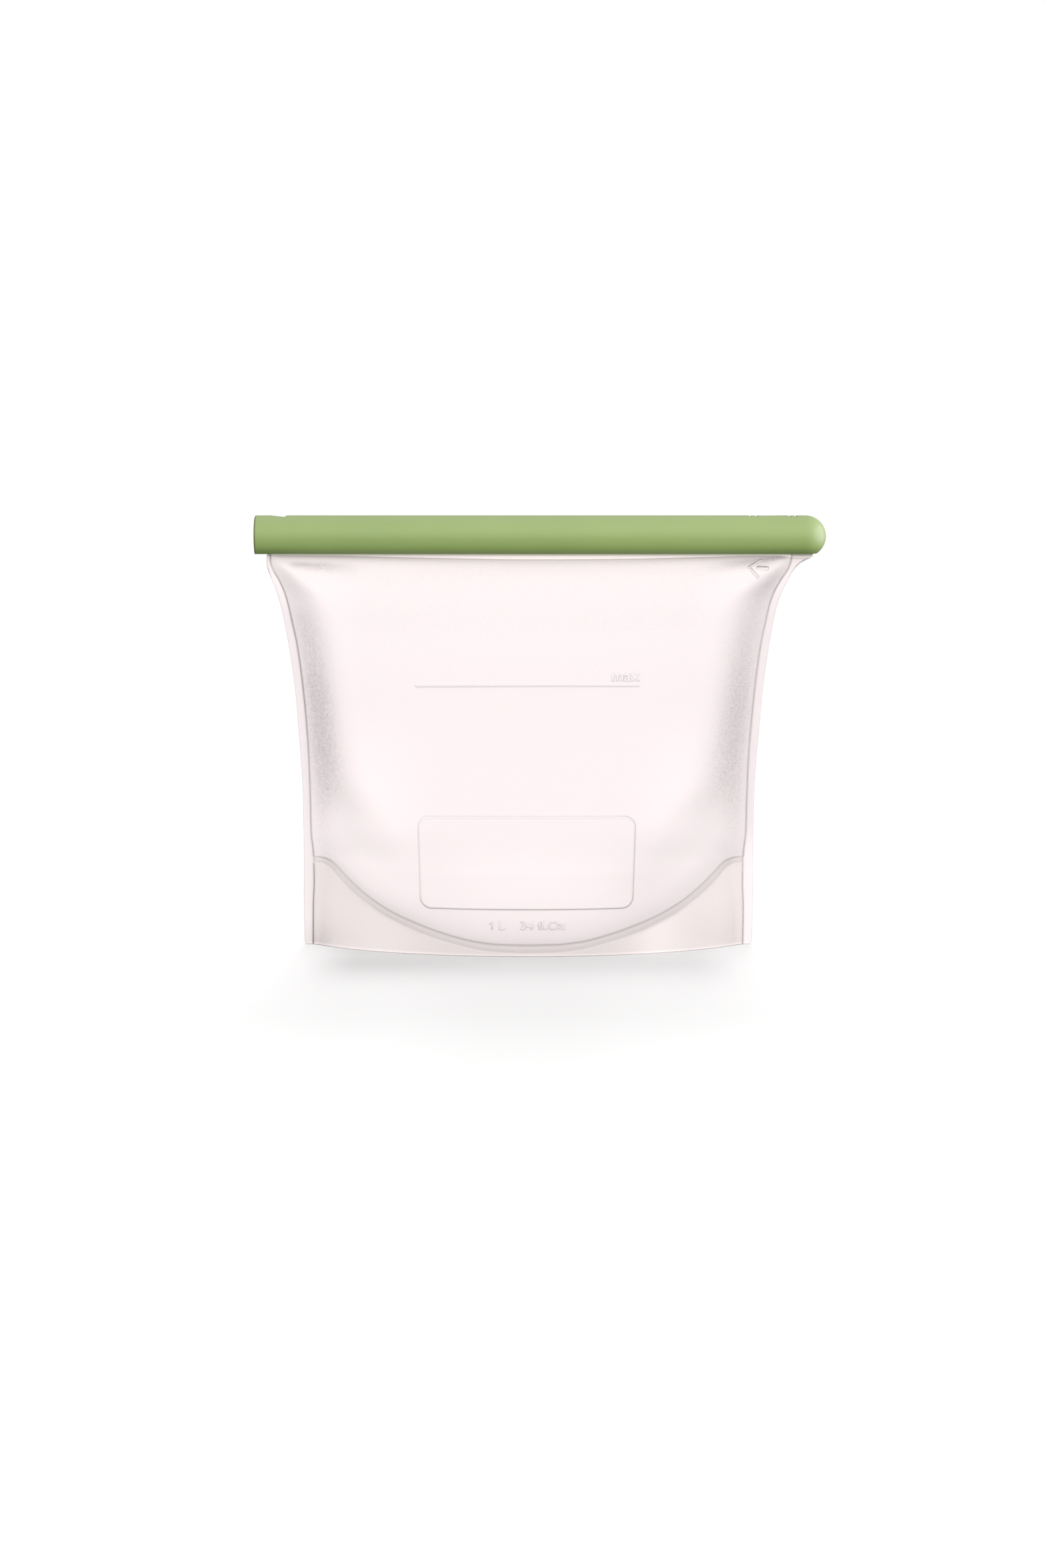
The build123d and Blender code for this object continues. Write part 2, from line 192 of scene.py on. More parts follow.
def chamber(x, z):
    """Distance from the middle plane of the outer face, and of the smoother form the lining follows."""
    base = SEAM_HALF + (pchip(z, BODY_Z, DEPTH) - SEAM_HALF) * depth_share(x, z)
    room = rise(base, SEAM_HALF, SEAM_HALF + 5.0)       # relief fades out into the side seam
    place, above, _ = rib_place(x, z)
    across = np.clip(place, 0, 1)
    # the chamber turns in a little over the weld, which slopes in to the foot below it
    turn = np.where(above < 0, 1.0 + 1.25 * (1 - across), np.exp(-np.clip(above, 0, None) / 4.0))
    wall = base - turn * room
    # soft pinches that run in from the two upper corners
    side = np.clip(118 - np.abs(x), 0, None)
    valley = hump(z - (177.0 - 0.035 * side), 1.6 + 0.03 * side)
    wall = wall - 0.9 * valley * rise(side, 0, 8) * hump(side, 38)
    overhang = rise(place, 0.90, 1.02)
    face = wall - 0.40 * (1 - overhang) * across * np.clip(0.15 + room, 0, 1)
    return face, wall


# label: a raised rounded rectangle, a little narrower towards its foot
LABEL_MIDDLE, LABEL_HALF = -0.85, 49.35
LABEL_LOW, LABEL_HIGH = 22.4, 65.2
LABEL_CORNER = 5.2


def label_distance(x, z):
    """Signed distance to the label's edge, negative inside."""
    height = LABEL_HIGH - LABEL_LOW
    narrow = 1 - 0.021 * np.clip((LABEL_HIGH - z) / height, 0, 1)
    qx = np.abs((x - LABEL_MIDDLE) / narrow) - LABEL_HALF + LABEL_CORNER
    qz = np.abs(z - (LABEL_LOW + LABEL_HIGH) / 2) - height / 2 + LABEL_CORNER
    outside = np.hypot(np.clip(qx, 0, None), np.clip(qz, 0, None))
    return outside + np.minimum(np.maximum(qx, qz), 0) - LABEL_CORNER


def label_relief(x, z):
    s = label_distance(x, z)
    step = 0.30 * rise(s, 0, -0.55)
    bead = 0.16 * hump(s + 0.45, 0.35)
    return step + bead


def line_distance(x, z):
    """Signed distance to the raised level line, a flat arc that thins to the right."""
    middle = 124.05 + 0.25 * (1 - ((x + 0.5) / 51) ** 2)
    half = 0.75 - 0.18 * rise(x, -40, 50)
    s = np.abs(z - middle) - half
    end = np.clip(np.abs(x + 0.65) - 50.2, 0, None)
    return np.hypot(np.clip(s, 0, None), end) + np.minimum(s, 0)


def line_relief(x, z):
    return 0.30 * rise(line_distance(x, z), 0.25, -0.25)


# ---------------------------------------------------------------- painted light and shade on the walls
# Lengths are millimetres; the factors in front are strengths from 0 to 1.
def pinch_painted_shade(z, inward, strength, row, drop, reach, above, below):
    """Painted shade of a pinch from an upper corner: it sinks and widens inward; above, below: (start,
    growth).
    """
    middle = row - drop * np.clip(inward, 0, reach)
    run = np.clip(inward, 0, 40)
    width = np.where(z > middle, above[0] + above[1] * run, below[0] + below[1] * run)
    return strength * hump(z - middle, width)


def painted_tone(x, z, outer, front):
    """Per point: share of the side-on greying kept (lowered where light is painted in), painted shade,
    and painted light as glow.
    """
    ax = np.abs(x)
    inward = rise(half_width(z) - ax, 3, 15)
    _, above, below = rib_place(x, z)
    skirt = rise(below, 0, 1.5)         # the two parts of the foot below the rib
    # painted light: the side-on greying is kept less high up in the middle, low down, and at the left
    # upper corner
    keep = 1 - 0.35 * rise(z, 150, 174) * (1 - rise(ax, 84, 110))
    keep = keep * (1 - 0.62 * rise(z, 84, 56) * inward)
    keep = keep * (1 - 0.70 * rise(x, -88, -100) * rise(z, 152, 166))
    # painted shade: the two corner pinches
    t = x + 112
    painted_shading = pinch_painted_shade(z, t, strength=0.25 * rise(t, 0, 6) * (1 - rise(t, 12, 40)),
                      row=177.5, drop=0.045, reach=40, above=(0.65, 0.035), below=(1.3, 0.075))
    t = 114 - x
    painted_shading = painted_shading + pinch_painted_shade(z, t, strength=0.34 * rise(x, 118.5, 113.5) * (1 - rise(t, 6, 42)),
                             row=180.0, drop=0.105, reach=38, above=(0.8, 0.03), below=(1.0, 0.07))
    # painted shade: outer corner of the left skirt, middle of the foot, right flank, upper chamber
    painted_shading = painted_shading + skirt * (0.10 * hump(x + 97, 8) * rise(z, 14, 2) + 0.035 * hump(x, 42))
    painted_shading = painted_shading + 0.06 * hump(x - 93, 9) * hump(z - 62, 16)
    upper = (0.026 * rise(z, 108, 132) + 0.034 * rise(z, 138, 158)) * (1 - rise(z, 174, 179))
    painted_shading = painted_shading + upper * (1 - 0.7 * rise(ax, 70, 95))
    if not front:
        painted_shading = painted_shading * 0.7
    # painted light, as glow: under the band, low on the chamber, foot edge, left of the label, skirts,
    # band
    low = rise(z, 122, 62) * rise(above, 1, 15)
    painted_glow = 0.05 * rise(z, 169, 178) + low * (0.035 + 0.055 * inward * rise(ax, 40, 76))
    painted_glow = painted_glow + 0.06 * hump(z - 0.75, 0.5)
    painted_glow = painted_glow + 0.065 * hump(z - 32, 15) * (1 - rise(x, 30, 60)) * rise(above, 1, 5)
    painted_glow = painted_glow + skirt * (0.085 * hump(x + 66, 18) * rise(z, 30, 16)
                           + 0.13 * hump(x - 58, 14) + 0.050 * rise(x, 44, 62))
    under_bar = z < BAR_FLAT + 1.5
    band = rise(z - crease_line(x), -0.1, 0.2) * under_bar
    painted_glow = np.maximum(painted_glow, 0.42 * band)
    return keep, np.where(outer, painted_shading, 0.0), np.where(under_bar, painted_glow, 0.0)


def painted_edge_shade(x, z):
    """Per point: how dark the painted shade lines are drawn at the label's edge, the seam line and the
    outer edge.
    """
    label = 0.24 + 0.20 * rise(z, 31, 23) + 0.12 * rise(x, 38, 47)
    right = rise(x, -60, 60)
    seam = ((0.36 + 0.13 * rise(z, 80, 120)) * (1 - right)
            + (0.32 + 0.14 * rise(z, 150, 170)) * right)
    # the weld runs on into the side seam
    seam = seam * (1 - 0.85 * rise(z, 38.0, 38.8) * (1 - rise(z, 41.3, 42.0)))
    seam = seam * (1 - 0.42 * right * rise(z, 42, 38))
    edge = 0.24 * (1 - right) + (0.13 + 0.13 * rise(z, 168, 176)) * right
    return np.minimum(label, 0.44), seam, edge


# ---------------------------------------------------------------- mesh helpers
def spaced(stops):
    """Positions through stops of (position, spacing up to the next stop)."""
    places = [stops[0][0]]
    for (start, spacing), (end, _) in zip(stops, stops[1:]):
        n = max(1, int(round((end - start) / spacing)))
        places += list(np.linspace(start, end, n + 1)[1:])
    return np.array(places)


def link(name, data):
    ob = bpy.data.objects.new(name, data)
    bpy.context.scene.collection.objects.link(ob)
    return ob


def new_object(name, verts, faces):
    """A smooth-shaded mesh object from points in millimetres."""
    mesh = bpy.data.meshes.new(name)
    mesh.from_pydata((np.asarray(verts) * MM).tolist(), [], faces)
    mesh.validate()
    mesh.update()
    for polygon in mesh.polygons:
        polygon.use_smooth = True
    return link(name, mesh)


def give(ob, material):
    ob.data.materials.clear()
    ob.data.materials.append(material)


def finish(ob, material, sharp_angle):
    """Merge doubles, turn faces outward, mark sharp edges (degrees) and give the material."""
    bm = bmesh.new()
    bm.from_mesh(ob.data)
    bmesh.ops.remove_doubles(bm, verts=bm.verts, dist=1e-6)
    bmesh.ops.dissolve_degenerate(bm, edges=bm.edges, dist=1e-7)
    bmesh.ops.recalc_face_normals(bm, faces=bm.faces)
    bm.to_mesh(ob.data)
    bm.free()
    ob.data.set_sharp_from_angle(angle=math.radians(sharp_angle))
    give(ob, material)
    return ob


# ---------------------------------------------------------------- front and back wall
# Stops of (position, spacing). Columns run from -1 to 1 over the chamber's half width, rows are
# heights; seam steps are shares of the way from the chamber out to the seam's edge.
FRONT_GRID = dict(
    columns=((-1, 0.0026), (-0.99, 0.005), (-0.96, 0.009), (-0.72, 0.008), (-0.512, 0.0037),
             (-0.448, 0.0125), (0.43, 0.0037), (0.494, 0.008), (0.72, 0.009), (0.96, 0.005),
             (0.99, 0.0026), (1, 1)),
    rows=((0, 0.2), (FOOT_EDGE, 0.46), (21.5, 0.4), (28, 0.46), (44, 1.4), (59.4, 0.42),
          (66, 1.6), (122.2, 0.36), (125.8, 1.5), (160, 0.9), (174, 0.4), (177.4, 0.25),
          (CREASE, 1)),
    seam_steps=(0.06, 0.12, 0.35, 0.7, 0.88, 0.955, 0.988, 1.0))
BACK_GRID = dict(
    columns=((-1, 0.004), (-0.98, 0.01), (-0.94, 0.016), (-0.4, 0.035), (0.4, 0.016),
             (0.94, 0.01), (0.98, 0.004), (1, 1)),
    rows=((0, 0.3), (FOOT_EDGE, 0.6), (44, 1.8), (163, 1.1), (175, 0.7), (177.4, 0.37),
          (CREASE, 1)),
    seam_steps=(0.08, 0.35, 0.7, 0.9, 0.97, 1.0))
INNER_ROWS = ((0, 2.5), (45, 4), (160, 2.5), (177.2, 1))
BAND_ROWS = ((0.35, 1.66), (0.9, BAND_HALF), (1.6, BAND_HALF))      # (above the crease, half depth)
MIDDLE_ROWS = (193.0, 189.0, 185.0, 181.5)      # down the middle plane, from bead to chamber
FAR = 9.0               # distances to moulded edges are cut off here


def end_round(x, radius):
    """0 at the first and last column, 1 from the radius inward, along a quarter circle."""
    near = np.minimum(x - x[0], x[-1] - x)
    return np.sqrt(np.clip(1 - np.clip(1 - near / radius, 0, 1) ** 2, 0, 1))


def wall_surface(u, rows, front):
    """Rows of x, depth and height round one wall; also the number of rows on its outer side."""
    core = np.clip(u, -1, 1)
    rim = np.clip(np.abs(u) - 1, 0, 1)
    on_seam = rim > 0
    X, Y, Z = [], [], []

    def add_row(x, y, z):
        for grid, values in ((X, x), (Y, y), (Z, z)):
            grid.append(np.broadcast_to(values, u.shape))

    def x_at(z):
        width = half_width(z)
        left = pchip(z, EDGE_Z, EDGE_HALF)
        below = FOOT_CORNER - np.minimum(z, FOOT_CORNER)
        corner = FOOT_CORNER - np.sqrt(np.clip(FOOT_CORNER**2 - below**2, 0, None))
        right = np.maximum(left, pchip(z, TAB_Z, TAB_X)) - corner
        left = left - corner
        return np.where(u < -1, -(width + (left - width) * rim),
                        np.where(u > 1, width + (right - width) * rim, core * width))

    # outer face, with a groove where chamber and seam meet
    groove = 0.16 * hump(np.abs(np.abs(u) - 1) * np.where(on_seam, 3.6, 100), 0.45)
    seam = SEAM_HALF - groove + 0.10 * rise(rim, 0, 0.12) * (1 - rise(rim, 0.75, 0.90))
    core_edge = 0.5 * SEAM_HALF         # the seam's outer edge starts at half its thickness
    for z in rows:
        x = x_at(z)
        chamber_x = core * half_width(z)
        face, _ = chamber(chamber_x, z)
        if front:
            relief = label_relief(chamber_x, z) + line_relief(chamber_x, z)
            face = face + np.where(on_seam, 0, relief)
        depth = np.where(on_seam, core_edge + (seam - core_edge) * end_round(x, 0.5),
                         face - groove)
        if z < FOOT_EDGE:
            inset = 0.35 * (1 - math.sqrt(1 - (1 - z / FOOT_EDGE) ** 2))
            depth = depth - inset * np.where(rim > 0.9, 0, 1)
        add_row(x, depth, z + lift(x, z))
    # mouth band
    for above, half in BAND_ROWS:
        z = np.minimum(crease_line(x_at(CREASE + above)) + above, BAR_FLAT + 0.35)
        x = x_at(z)
        edge = end_round(x, 0.5)
        depth = np.where(on_seam, core_edge + (BAND_HALF - 0.05 - core_edge) * edge, half)
        add_row(x, depth, z)
    # neck and sealing bead
    x_top = x_at(182.0)
    neck_top = BAR_Z - math.sqrt(BEAD_RADIUS**2 - NECK_HALF**2)
    for z in (181.7, 182.6, neck_top - 0.15):
        add_row(x_top, 1.6 * np.where(on_seam, edge, 1), z)
    radius = BEAD_RADIUS - BEAD_END * (1 - end_round(x_top, BEAD_END))
    for angle in np.linspace(math.asin(NECK_HALF / BEAD_RADIUS), math.pi, 22):
        add_row(x_top, radius * math.sin(angle), BAR_Z - radius * math.cos(angle))
    outer_count = len(X)
    for z in MIDDLE_ROWS:
        add_row(x_top, NEAR_MIDDLE, z)
    # lining of the chamber, from the top to the floor, thicker where the wall slopes
    for z in spaced(INNER_ROWS)[::-1]:
        chamber_x = core * half_width(z)
        _, wall = chamber(chamber_x, z)
        _, higher = chamber(chamber_x, z + 0.6)
        _, lower = chamber(chamber_x, max(z - 0.6, 0.0))
        thick = 1.08 * np.sqrt(1 + np.clip((higher - lower) / 1.2, -0.9, 0.9) ** 2)
        depth = np.where(on_seam, NEAR_MIDDLE, np.maximum(wall - thick, NEAR_MIDDLE))
        add_row(x_at(z), depth, z)
    return np.array(X), np.array(Y), np.array(Z), outer_count


def wall_faces(Z, outer_count):
    """Quads round the wall, and a strip of triangles that closes either end."""
    row_count, column_count = Z.shape
    faces = []
    for i in range(row_count):
        a, b = i * column_count, (i + 1) % row_count * column_count
        for k in range(column_count - 1):
            faces.append((a + k, a + k + 1, b + k + 1, b + k))
    for k in (0, column_count - 1):
        low, high = 0, row_count - 1
        while high - low > 1:
            step_outer = low + 1 < outer_count and (
                Z[low + 1, k] <= Z[high - 1, k] or high - 1 < outer_count)
            step = low + 1 if step_outer else high - 1
            faces.append(tuple(row * column_count + k for row in (low, step, high)))
            if step_outer:
                low = step
            else:
                high = step
    return faces


def add_marks(ob, u, X, Z, face_count, front):
    """Store distances to the moulded edges and the painted light and shade, for the wall material."""
    on_seam = np.abs(u) > 1
    outer = np.zeros(X.shape, bool)
    outer[:face_count] = True
    edge_count = face_count + len(BAND_ROWS)
    width = half_width(Z)
    core_x = np.clip(u, -1, 1) * width

    def square_on(k):
        slope = np.gradient(X[:edge_count, k]) / np.gradient(Z[:edge_count, k])
        factor = np.ones(len(X))
        factor[:edge_count] = 1 / np.sqrt(1 + slope**2)
        return factor[:, None]

    def near(distance, where=outer, other=FAR):
        return np.where(where, np.clip(distance, -FAR, FAR), other)

    seam = np.minimum(np.abs(np.abs(X) - width), FAR)
    edge = np.clip(np.minimum((X - X[:, :1]) * square_on(0), (X[:, -1:] - X) * square_on(-1)),
                   0, FAR)
    _, above, below = rib_place(core_x, Z)
    above = near(above, outer & ~on_seam)
    below = near(below, outer & ~on_seam, -FAR)
    label = line = np.full(X.shape, FAR)
    if front:
        label, line = near(label_distance(core_x, Z)), near(line_distance(core_x, Z))
    crest = np.clip(crease_line(X) - Z, -FAR, FAR)
    keep, painted_shading, painted_glow = painted_tone(X, Z, outer, front)
    # painted light: on the seams only 0.55 of the side-on greying is kept, and they glow more high up
    # and at the lower right
    keep = np.where(on_seam, 0.55, keep)
    seam_painted_glow = 0.03 + 0.07 * rise(Z, 150, 172) + 0.075 * rise(X, 60, 80) * rise(Z, 60, 40)
    painted_glow = np.where(on_seam, np.clip(painted_glow, seam_painted_glow, 0.16), painted_glow)
    marks = dict(marks_a=(label, line, above), marks_b=(below, seam, edge), marks_c=(crest, Z, X),
                 marks_d=(keep, painted_shading, painted_glow), marks_e=painted_edge_shade(X, Z))
    for name, parts in marks.items():
        attribute = ob.data.attributes.new(name, "FLOAT_VECTOR", "POINT")
        attribute.data.foreach_set("vector", np.stack(parts, -1).astype(np.float32).ravel())


def wall_piece(name, front, material):
    """One half of the bag: panel, half of both seams, of the band and of the bead, closed."""
    grid = FRONT_GRID if front else BACK_GRID
    steps = np.array(grid["seam_steps"])
    u = np.concatenate([-1 - steps[::-1], spaced(grid["columns"]), 1 + steps])
    rows = spaced(grid["rows"])
    X, Y, Z, outer_count = wall_surface(u, rows, front)
    verts = np.stack([MID + X + lean(Z), -Y if front else Y, Z], -1).reshape(-1, 3)
    ob = new_object(name, verts, wall_faces(Z, outer_count))
    add_marks(ob, u, X, Z, len(rows), front)
    return finish(ob, material, sharp_angle=55)


# ---------------------------------------------------------------- gusset
GUSSET_COLUMNS = ((-98.2, 0.8), (-85, 1.4), (85, 0.8), (98.2, 1))
GUSSET_ACROSS = 49
GUSSET_THICK = 0.95
FOLD_Z = 43.0           # height that sets how far the arch rises


def gusset_piece(material):
    """The base: a sheet between the two ribs that arches up, creased along its middle."""
    xs = spaced(GUSSET_COLUMNS)
    n = GUSSET_ACROSS
    across = np.linspace(-1, 1, n)
    low, top = [], []
    for x in xs:
        ax = abs(x)
        rib_z = 0.5 * (pchip(ax, RIB_X, RIB_TOP) + pchip(ax, RIB_X, RIB_LOW))
        half = max(float(chamber(x, rib_z)[1]) - 0.9, 0.25)
        room = FOLD_Z - rib_z
        height = math.sqrt(max(room**2 - half * half, 0.0)) if room > half else 0.0
        height = max(height, 0.10 * half, 0.25)
        arch = 1 - across**2 * (1.55 - 0.55 * across**2)
        crease = 0.9 * hump(across * half, 2.2) * rise(half, 4, 14)
        z = rib_z - 0.3 + height * arch + crease
        thick = GUSSET_THICK if half > 1.5 else GUSSET_THICK * half / 1.5
        low.append(np.stack([np.full(n, x), across * half, z], -1))
        top.append(np.stack([np.full(n, x), across * half, z + thick], -1))
    verts = np.concatenate(low + top)
    verts[:, 0] += MID + lean(verts[:, 2])
    faces = []
    off = len(xs) * n               # first vertex of the upper face
    for i in range(len(xs) - 1):
        row, following = i * n, (i + 1) * n
        for j in range(n - 1):
            a, b, c, d = row + j, row + j + 1, following + j + 1, following + j
            faces.append((a, b, c, d))
            faces.append((off + a, off + d, off + c, off + b))
        for j in (0, n - 1):
            a, d = row + j, following + j
            faces.append((a, d, off + d, off + a))
    for i in (0, len(xs) - 1):
        for j in range(n - 1):
            a, b = i * n + j, i * n + j + 1
            faces.append((a, b, off + b, off + a))
    return finish(new_object("gusset_wall", verts, faces), material, sharp_angle=55)


# ---------------------------------------------------------------- raised marks on the front wall
SUNK = 0.35             # marks reach this far into the wall
STROKE_PROUD = 0.34
LETTER_PROUD = 0.32
STROKE_RINGS = 26
LETTER_EXTRUDE, LETTER_BEVEL = 0.12, 0.16


def on_front(x, z, height):
    """Points at a height over the front wall's outer face."""
    face, _ = chamber(x, before_lift(x, z))
    return list(np.stack([MID + x + lean(z), -(face + height), z], -1))


def stroke_mesh(strokes):
    """Rounded strokes; each is (start, end, half width)."""
    verts, faces = [], []
    for (start_x, start_z), (end_x, end_z), radius in strokes:
        length = math.hypot(end_x - start_x, end_z - start_z)
        along_x, along_z = (end_x - start_x) / length, (end_z - start_z) / length
        turns = np.linspace(0.03, math.pi - 0.03, STROKE_RINGS)
        off = len(verts)
        for at in -radius + (length + 2 * radius) * (1 - np.cos(turns)) / 2:
            over = max(-at, at - length, 0.0)
            half = max(math.sqrt(max(radius * radius - over * over, 0.0)), 0.05)
            top = STROKE_PROUD * min(1.0, half / (0.6 * radius))
            # section: (share of the half width, height), one flank and its mirror
            flank = [(-1.0, -SUNK), (-1.0, 0.0), (-0.78, 0.68 * top), (-0.5, top)]
            section = flank + [(0.0, top)] + [(-side, h) for side, h in reversed(flank)]
            ring = np.array([(start_x + along_x * at - along_z * side * half,
                              start_z + along_z * at + along_x * side * half, h)
                             for side, h in section])
            verts += on_front(*ring.T)
        m = len(section)
        for i in range(STROKE_RINGS - 1):
            a, b = off + i * m, off + (i + 1) * m
            for j in range(m):
                k = (j + 1) % m
                faces.append((a + j, a + k, b + k, b + j))
        last = off + (STROKE_RINGS - 1) * m
        faces.append(tuple(off + j for j in range(m)))
        faces.append(tuple(last + j for j in range(m))[::-1])
    return verts, faces


def outline_curve(points):
    """A filled shape from its outline in x and z."""
    data = bpy.data.curves.new("outline", "CURVE")
    data.dimensions = "2D"
    data.fill_mode = "BOTH"
    data.extrude, data.bevel_depth, data.bevel_resolution = LETTER_EXTRUDE, LETTER_BEVEL, 1
    data.offset = -LETTER_BEVEL
    spline = data.splines.new("POLY")
    spline.points.add(len(points) - 1)
    for point, (x, z) in zip(spline.points, points):
        point.co = (x, z, 0, 1)
    spline.use_cyclic_u = True
    return data


def word_curve(body):
    data = bpy.data.curves.new("word", "FONT")
    data.body = body
    data.size = 6.0
    data.resolution_u = 5
    data.extrude, data.bevel_depth, data.bevel_resolution = LETTER_EXTRUDE, LETTER_BEVEL, 1
    data.offset = 0.0
    return data


def figure_one(x0, x1, z0, z1):
    """Outline of a 1, from shares of its box."""
    shares = [(0.46, 0), (0.78, 0), (0.78, 1), (0.52, 1), (0.08, 0.74), (0.08, 0.52), (0.46, 0.74)]
    return [(x0 + a * (x1 - x0), z0 + b * (z1 - z0)) for a, b in shares]


def low_relief(name, words, material):
    """Words laid on the front wall; each is (curve, (x0, x1, z0, z1) to fit it to, or None)."""
    verts, faces = [], []
    for data, box in words:
        flat = link("tmp", data)
        bpy.context.view_layer.update()
        graph = bpy.context.evaluated_depsgraph_get()
        mesh = bpy.data.meshes.new_from_object(flat.evaluated_get(graph))
        points = np.array([tuple(v.co) for v in mesh.vertices])
        low, high = points.min(0), points.max(0)
        if box is not None:
            for axis, (start, end) in enumerate((box[:2], box[2:])):
                share = (points[:, axis] - low[axis]) / (high[axis] - low[axis])
                points[:, axis] = start + share * (end - start)
        x, z, level = points.T
        height = -SUNK + (level - low[2]) / (high[2] - low[2]) * (LETTER_PROUD + SUNK)
        off = len(verts)
        verts += on_front(x, z, height)
        faces += [tuple(off + i for i in polygon.vertices) for polygon in mesh.polygons]
        bpy.data.objects.remove(flat)
        bpy.data.meshes.remove(mesh)
    return finish(new_object(name, verts, faces), material, sharp_angle=60)


# ---------------------------------------------------------------- shader helpers
class Signal:
    """A node's output; arithmetic on it adds math nodes, with inputs in the order written."""

    def __init__(self, socket):
        self.socket = socket

    def __add__(self, other):
        return math_node("ADD", self, other)

    def __radd__(self, other):
        return math_node("ADD", other, self)

    def __sub__(self, other):
        return math_node("SUBTRACT", self, other)

    def __rsub__(self, other):
        return math_node("SUBTRACT", other, self)

    def __mul__(self, other):
        return math_node("MULTIPLY", self, other)

    def __truediv__(self, other):
        return math_node("DIVIDE", self, other)

    def __rtruediv__(self, other):
        return math_node("DIVIDE", other, self)

    def __pow__(self, other):
        return math_node("POWER", self, other)

    def __rpow__(self, other):
        return math_node("POWER", other, self)

    def __lt__(self, other):
        return math_node("LESS_THAN", self, other)

    def __gt__(self, other):
        return math_node("GREATER_THAN", self, other)

    def __abs__(self):
        return math_node("ABSOLUTE", self)

    def clamped(self):
        self.socket.node.use_clamp = True
        return self


def add_node(tree, kind, *inputs, **values):
    """Add a node; values go to inputs by place or name (_ for a space), or to properties."""
    node = tree.nodes.new("ShaderNode" + kind)
    for name, value in [*enumerate(inputs), *values.items()]:
        key = name.replace("_", " ") if isinstance(name, str) else name
        if isinstance(name, str) and key not in node.inputs:
            setattr(node, name, value)
        elif isinstance(value, Signal):
            tree.links.new(value.socket, node.inputs[key])
        else:
            node.inputs[key].default_value = value
    return node


def signal(tree, kind, *inputs, output=0, **values):
    return Signal(add_node(tree, kind, *inputs, **values).outputs[output])


def tree_of(*values):
    return next(v.socket.id_data for v in values if isinstance(v, Signal))


def math_node(operation, *inputs):
    return signal(tree_of(*inputs), "Math", *inputs, operation=operation)


def separate(tree, vector):
    return [Signal(socket) for socket in add_node(tree, "SeparateXYZ", vector).outputs]


def bell(distance, width, offset):
    """1 on the line, falling off over its width."""
    d = (distance - offset) / width
    return math.e ** (d * d * -1.0)


def colour_ramp(factor, stops, interpolation="LINEAR"):
    """Stops are (position, colour)."""
    node = add_node(tree_of(factor), "ValToRGB", factor)
    node.color_ramp.interpolation = interpolation
    elements = node.color_ramp.elements
    elements[0].position, elements[0].color = stops[0]
    elements[1].position, elements[1].color = stops[-1]
    for position, colour in stops[1:-1]:
        elements.new(position).color = colour
    return Signal(node.outputs[0])


def tint(first, second):
    """The two colours multiplied."""
    return signal(tree_of(first, second), "Mix", output="Result", data_type="RGBA",
                  blend_type="MULTIPLY", Factor=1.0, A=first, B=second)


def srgb(*channels):
    linear = [c / 255 / 12.92 if c / 255 <= 0.04045 else ((c / 255 + 0.055) / 1.055) ** 2.4
              for c in channels]
    return (*linear, 1.0)


def new_material(name):
    material = bpy.data.materials.new(name)
    material.use_nodes = True
    material.node_tree.nodes.clear()
    return material, material.node_tree


# ---------------------------------------------------------------- silicone
# Colour by depth of wall looked through: (depth, sRGB).
SILICONE_TONES = (
    (0.0, (255, 245, 246)), (0.10, (254, 244, 245)), (0.20, (251, 241, 242)),
    (0.32, (245, 235, 236)), (0.42, (235, 225, 226)), (0.50, (224, 214, 216)),
    (0.60, (210, 200, 202)), (1.0, (166, 156, 159)))
# Painted shade and green reflection of the bar on the mouth band: (share of CAST_REACH below the bar,
# linear colour).
BAR_PAINTED_SHADE = (
    (0.0, (0.52, 0.55, 0.47, 1)), (0.20, (0.55, 0.58, 0.50, 1)), (0.34, (0.62, 0.63, 0.56, 1)),
    (0.46, (0.79, 0.79, 0.75, 1)), (0.58, (0.93, 0.92, 0.88, 1)), (1.0, (0.98, 0.96, 0.94, 1)))
CAST_REACH = 2.6
CLEARNESS = 0.13        # share of light let through head on
MOST_GREY = 0.66


